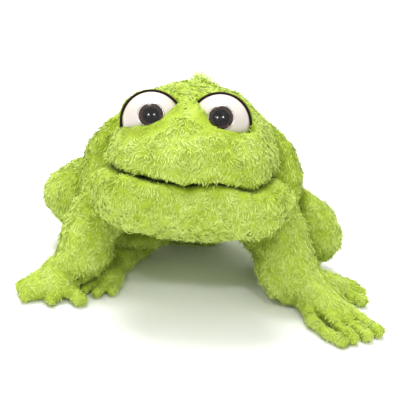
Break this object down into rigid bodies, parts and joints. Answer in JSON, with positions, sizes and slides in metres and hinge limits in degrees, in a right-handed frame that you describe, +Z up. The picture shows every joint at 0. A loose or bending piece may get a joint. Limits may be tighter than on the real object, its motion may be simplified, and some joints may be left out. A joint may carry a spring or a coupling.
{
  "type": "hand puppet",
  "caption": "Sitting frog hand puppet in short curly plush, with a wide mouth that opens, domed eyes, floppy limbs and a lined sleeve that takes a hand from behind.",
  "frame": {"origin": "centre of the flat seat panel, on the surface the puppet sits on", "axes": "+Z up, -Y the way the puppet looks, +X to the puppet's own left"},
  "size_m": [0.3317, 0.2636, 0.2013],
  "materials": {
    "plush": "short curly pile",
    "mouth_felt": "matt felt",
    "lining_cloth": "plain woven lining",
    "fibre_fill": "loose polyester fibre",
    "foam": "open-cell foam",
    "pellets": "small plastic pellets",
    "board": "flexible sheet",
    "elastic": "woven elastic",
    "washer": "moulded",
    "eye_white": "gloss",
    "eye_iris": "printed",
    "eye_pupil": "gloss",
    "eye_lens": "clear acrylic",
    "eye_piping": "dark piping"
  },
  "bodies": {
    "torso": {"torso_cover": "plush", "torso_stuffing": "fibre_fill", "hand_sleeve": "lining_cloth", "cuff_hem": "lining_cloth", "cuff_elastic": "elastic", "seat_panel": "plush"},
    "head": {"head_cover": "plush", "head_foam": "foam", "palate_lining": "mouth_felt", "palate_board": "board", "finger_pocket": "lining_cloth", "mouth_fold_cord": "lining_cloth", "left_eye_globe": "eye_white", "left_eye_iris": "eye_iris", "left_eye_pupil": "eye_pupil", "left_eye_lens": "eye_lens", "left_eye_washer": "washer", "left_eye_hood": "plush", "left_eye_rim": "eye_piping", "right_eye_globe": "eye_white", "right_eye_iris": "eye_iris", "right_eye_pupil": "eye_pupil", "right_eye_lens": "eye_lens", "right_eye_washer": "washer", "right_eye_hood": "plush", "right_eye_rim": "eye_piping"},
    "jaw": {"jaw_cover": "plush", "jaw_foam": "foam", "jaw_lining": "mouth_felt", "jaw_board": "board", "thumb_pocket": "lining_cloth"},
    "left_arm": {"left_arm_cover": "plush", "left_arm_stuffing": "fibre_fill"},
    "left_hand": {"left_hand_cover": "plush", "left_hand_pellets": "pellets", "left_fingers": "plush"},
    "left_leg": {"left_leg_cover": "plush", "left_leg_stuffing": "fibre_fill"},
    "left_foot": {"left_foot_cover": "plush", "left_foot_pellets": "pellets", "left_toes": "plush"},
    "right_arm": {"right_arm_cover": "plush", "right_arm_stuffing": "fibre_fill"},
    "right_hand": {"right_hand_cover": "plush", "right_hand_pellets": "pellets", "right_fingers": "plush"},
    "right_leg": {"right_leg_cover": "plush", "right_leg_stuffing": "fibre_fill"},
    "right_foot": {"right_foot_cover": "plush", "right_foot_pellets": "pellets", "right_toes": "plush"}
  },
  "joints": [
    {"name": "head_nod", "type": "hinge", "parent": "torso", "child": "head", "pos_m": [0, -0.105, 0.122], "axis": [1, 0, 0], "range_deg": [-15, 8]},
    {"name": "jaw_open", "type": "hinge", "parent": "head", "child": "jaw", "pos_m": [0, -0.105, 0.122], "axis": [1, 0, 0], "range_deg": [0, 28]},
    {"name": "left_shoulder_raise", "type": "hinge", "parent": "torso", "child": "left_arm", "pos_m": [0.09, -0.103, 0.056], "axis": [0, -1, 0], "range_deg": [0, 60]},
    {"name": "left_wrist_swing", "type": "hinge", "parent": "left_arm", "child": "left_hand", "pos_m": [0.118, -0.127, 0.022], "axis": [0, 0, 1], "range_deg": [-25, 25]},
    {"name": "left_hip_swing", "type": "hinge", "parent": "torso", "child": "left_leg", "pos_m": [0.121, -0.037, 0.046], "axis": [0, 0, 1], "range_deg": [-4, 20]},
    {"name": "left_ankle_swing", "type": "hinge", "parent": "left_leg", "child": "left_foot", "pos_m": [0.08, -0.061, 0.0122], "axis": [0, 0, 1], "range_deg": [-5, 12]},
    {"name": "right_shoulder_raise", "type": "hinge", "parent": "torso", "child": "right_arm", "pos_m": [-0.09, -0.103, 0.056], "axis": [0, 1, 0], "range_deg": [0, 60]},
    {"name": "right_wrist_swing", "type": "hinge", "parent": "right_arm", "child": "right_hand", "pos_m": [-0.1, -0.126, 0.03], "axis": [0, 0, -1], "range_deg": [-15, 7]},
    {"name": "right_hip_swing", "type": "hinge", "parent": "torso", "child": "right_leg", "pos_m": [-0.124, -0.023, 0.052], "axis": [0, 0, -1], "range_deg": [-6, 0]},
    {"name": "right_ankle_swing", "type": "hinge", "parent": "right_leg", "child": "right_foot", "pos_m": [-0.066, -0.063, 0.0122], "axis": [0, 0, -1], "range_deg": [-20, 0]}
  ]
}
